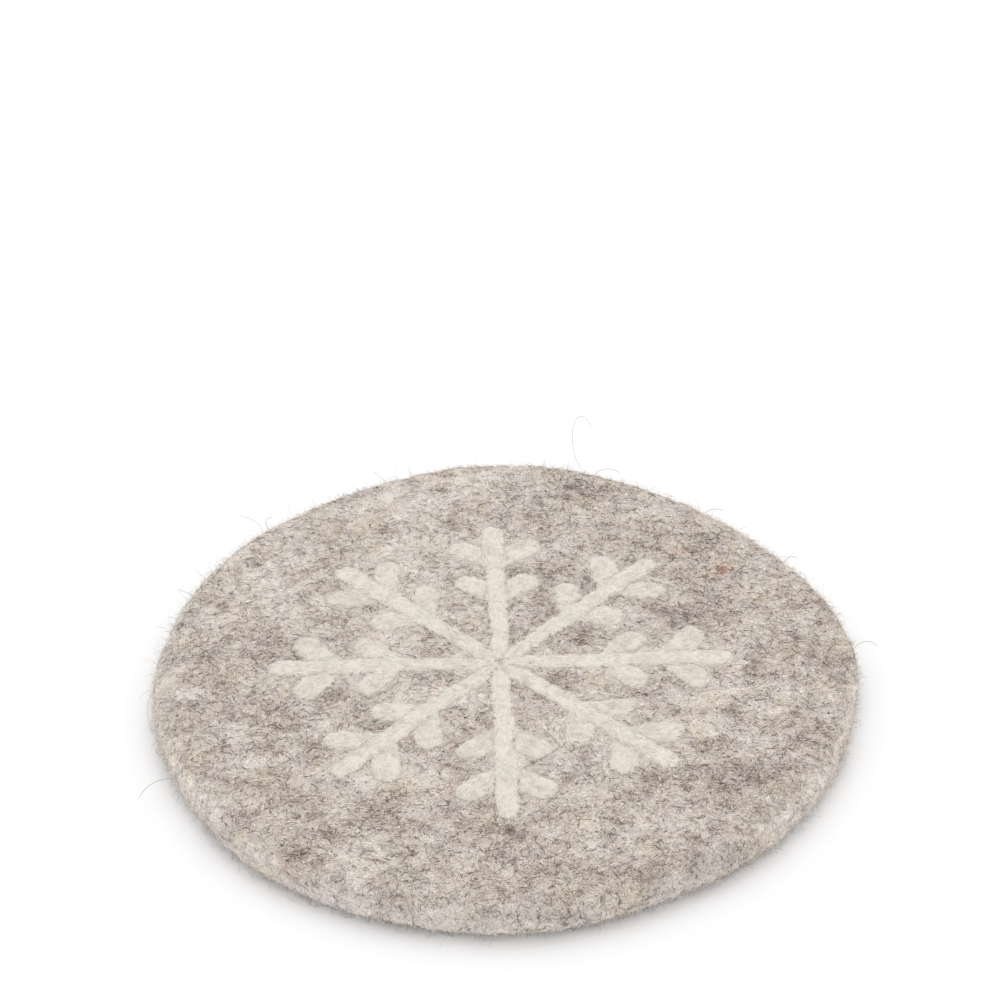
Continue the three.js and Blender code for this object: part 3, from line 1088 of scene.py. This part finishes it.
# Tints that fleece of other sheep brings in, as shares of red, green and blue
RUST_TINT = (0.86, 0.62, 0.55, 1.0)
PINK_TINT = (1.0, 0.94, 0.91, 1.0)
NO_TINT = (1.0, 1.0, 1.0, 1.0)
STRAW_TINT = (1.0, 0.985, 0.92, 1.0)
LAVENDER_TINT = (0.965, 0.96, 0.985, 1.0)
# Colours along the scales of tint and shade
TINT_STOPS = (
    (0.08, RUST_TINT),
    (0.2, PINK_TINT),
    (0.34, STRAW_TINT),
    (0.46, NO_TINT),
    (0.6, NO_TINT),
    (0.78, LAVENDER_TINT),
)
WOOL_STOPS = (
    (0.0, SOOT),
    (0.12, BROWN),
    (0.3, TAUPE),
    (0.5, BEIGE),
    (0.7, OATMEAL),
    (0.85, CREAM),
    (1.0, PALE),
)
# The felt seen between the fibres runs darker than they: partly brown fleece, partly painted shade between
# them
FELT_AND_GAP_SHADE_STOPS = ((0.2, BROWN), (0.45, TAUPE), (0.72, BEIGE), (1.0, CREAM))
WHITE_STOPS = ((0.0, BEIGE), (0.35, SHADED_WOOL), (1.0, WHITE_WOOL))
# Painted patches and painted light as shades: how strongly they tell, and the shade of a patch of 0
PATCH_CONTRAST = 0.4
PATCH_MIDDLE = 0.55
# Fine streaks: direction in degrees, width and length; then where on their noise the pale and dark ones
# begin and are full, and how strong they are
FELT_STREAKS = ((10, 0.11, 0.9), (75, 0.1, 0.8), (135, 0.12, 1.0))
FELT_RELIEF_STREAK = (40, 0.14, 1.2)
TUFT_STREAK = (30, 0.12, 1.0)
PALE_STREAKS = (0.55, 0.68, 0.7)
DARK_STREAKS = (0.42, 0.3, 0.75)
TUFT_DARK_STREAKS = (0.45, 0.3, 0.25)
# Strength and depth of the streaks' relief
FELT_RELIEF = (0.6, 0.15)
TUFT_RELIEF = (0.35, 0.1)
# How many bends the streaks take in a millimetre, and how far they bend
STREAK_BENDS = 0.9
STREAK_BEND_REACH = 2.2


def strokes(nodes, vector, streak, seed):
    """Short streaks in one direction, from 0 to 1, like fibres that lie that way."""
    turn, across, along = streak
    inputs = {
        "Vector": vector,
        "Rotation": (0.4 * seed, 0.0, math.radians(turn)),
        "Location": (7.0 * seed, 3.0 * seed, 5.0 * seed),
        "Scale": (1 / along, 1 / across, 1 / across),
    }
    mapping = nodes.add("ShaderNodeMapping", inputs)
    return nodes.noise(mapping.outputs["Vector"], 1.0, detail=1.5).outputs["Fac"]


def wool_place(nodes):
    """Position in millimetres, bent so that streaks curl."""
    place = nodes.add("ShaderNodeTexCoord").outputs["Object"]
    straight = nodes.vector("SCALE", {0: place, "Scale": 1 / MM})
    bend = nodes.noise(straight, STREAK_BENDS, detail=1.0)
    centred = nodes.vector("SUBTRACT", {0: bend.outputs["Color"], 1: (0.5, 0.5, 0.5)})
    strong = nodes.vector("SCALE", {0: centred, "Scale": STREAK_BEND_REACH})
    return nodes.vector("ADD", {0: straight, 1: strong})


def felt_material():
    """Heathered felt: patches from the painted fleece and painted light, and finer strokes than the
    modelled fibres.
    """
    nodes = Nodes("heathered_felt")
    place = wool_place(nodes)
    patch_and_light = {0: nodes.painted("patch_and_light"), 1: PATCH_CONTRAST, 2: PATCH_MIDDLE}
    shade = nodes.add("ShaderNodeMath", patch_and_light, operation="MULTIPLY_ADD")
    base = nodes.ramp(shade.outputs["Value"], FELT_AND_GAP_SHADE_STOPS)
    for seed, streak in enumerate(FELT_STREAKS, start=1):
        strength = strokes(nodes, place, streak, seed)
        base = nodes.mix(nodes.fade(strength, *PALE_STREAKS), base, CREAM)
        base = nodes.mix(nodes.fade(strength, *DARK_STREAKS), base, BROWN)
    tint = nodes.ramp(nodes.painted("tint"), TINT_STOPS)
    nodes.feed(nodes.shader.inputs["Base Color"], nodes.mix(1.0, base, tint, "MULTIPLY"))
    nodes.relief(strokes(nodes, place, FELT_RELIEF_STREAK, seed=5), *FELT_RELIEF)
    nodes.matt()
    return nodes.material


def tuft_material():
    """Combed white wool, with faint darker streaks where the felt shows through."""
    nodes = Nodes("combed_white_wool")
    place = wool_place(nodes)
    base = nodes.ramp(nodes.painted("tone"), WHITE_STOPS)
    streak = strokes(nodes, place, TUFT_STREAK, seed=2)
    base = nodes.mix(nodes.fade(streak, *TUFT_DARK_STREAKS), base, BEIGE)
    nodes.feed(nodes.shader.inputs["Base Color"], base)
    nodes.relief(streak, *TUFT_RELIEF)
    nodes.matt()
    return nodes.material


def fibre_material(name, stops):
    """Fibres take their colour from the shade and tint in their bake map."""
    nodes = Nodes(name)
    uv = nodes.add("ShaderNodeUVMap", uv_map="OFBake").outputs["UV"]
    split = nodes.add("ShaderNodeSeparateXYZ", {"Vector": uv})
    shade = nodes.ramp(split.outputs["X"], stops)
    tint = nodes.ramp(split.outputs["Y"], TINT_STOPS)
    nodes.feed(nodes.shader.inputs["Base Color"], nodes.mix(1.0, shade, tint, "MULTIPLY"))
    nodes.matt()
    return nodes.material


# Floor, light and camera

def floor():
    """A wide pale floor under the coaster."""
    bpy.ops.mesh.primitive_plane_add(size=FLOOR_SIDE)
    plane = bpy.context.object
    plane.name = "floor"
    nodes = Nodes("pale_floor")
    nodes.shader.inputs["Base Color"].default_value = FLOOR_COLOUR
    nodes.shader.inputs["Roughness"].default_value = FLOOR_ROUGHNESS
    nodes.shader.inputs["Specular IOR Level"].default_value = 0.0
    plane.data.materials.append(nodes.material)


def light():
    """White light from all round, and a large soft lamp above."""
    world = bpy.data.worlds.new("soft_room")
    bpy.context.scene.world = world
    world.use_nodes = True
    tree = world.node_tree
    direction = tree.nodes.new("ShaderNodeTexCoord").outputs["Generated"]
    height = tree.nodes.new("ShaderNodeSeparateXYZ")
    strength = tree.nodes.new("ShaderNodeMapRange")
    strength.inputs["To Min"].default_value = HORIZON_LIGHT
    strength.inputs["To Max"].default_value = OVERHEAD_LIGHT
    tree.links.new(direction, height.inputs["Vector"])
    tree.links.new(height.outputs["Z"], strength.inputs["Value"])
    background = tree.nodes["Background"]
    tree.links.new(strength.outputs["Result"], background.inputs["Strength"])
    background.inputs["Color"].default_value = (1, 1, 1, 1)
    lamp = bpy.data.lights.new("softbox", "AREA")
    lamp.shape = "DISK"
    lamp.size = SOFTBOX_SIZE
    lamp.energy = SOFTBOX_POWER
    box = bpy.data.objects.new("softbox", lamp)
    box.location = SOFTBOX_PLACE
    box.rotation_euler = (-Vector(box.location)).to_track_quat("-Z", "Y").to_euler()
    bpy.context.scene.collection.objects.link(box)
    bpy.context.scene.view_settings.view_transform = "Standard"


def camera():
    """The camera, in front of the coaster and above it."""
    data = bpy.data.cameras.new("camera")
    data.sensor_width = SENSOR_WIDTH
    data.lens = FOCAL_PIXELS / IMAGE_PIXELS * SENSOR_WIDTH
    data.clip_start = NEAREST_SEEN * MM
    rise = math.radians(CAMERA_ELEVATION)
    roll = math.radians(CAMERA_ROLL)
    back = Vector((0, -math.cos(rise), math.sin(rise)))
    right = Vector((1, 0, 0))
    up = back.cross(right)
    turned = right * math.cos(roll) + up * math.sin(roll)
    upright = up * math.cos(roll) - right * math.sin(roll)
    place = (Vector(CAMERA_AIM) + back * CAMERA_DISTANCE) * MM
    made = bpy.data.objects.new("camera", data)
    made.matrix_world = Matrix.Translation(place) @ Matrix((turned, upright, back)).transposed().to_4x4()
    bpy.context.scene.collection.objects.link(made)
    bpy.context.scene.camera = made


floor()
light()
camera()

combed_wool = (tuft_material(), "white_wool")
for tuft_name in tuft_names:
    tuft_body(tuft_name, combed_wool)
felt = felt_body((felt_material(), "felt_wool"))
wool_fibre = (fibre_material("wool_fibre", WOOL_STOPS), "felt_wool")
for grow in (felt_fibres, felt_locks, felt_hairs, under_fibres, fuzz, edge_hairs, top_hairs):
    grow(wool_fibre)
tuft_fibres((fibre_material("white_wool_fibre", WHITE_STOPS), "white_wool"))
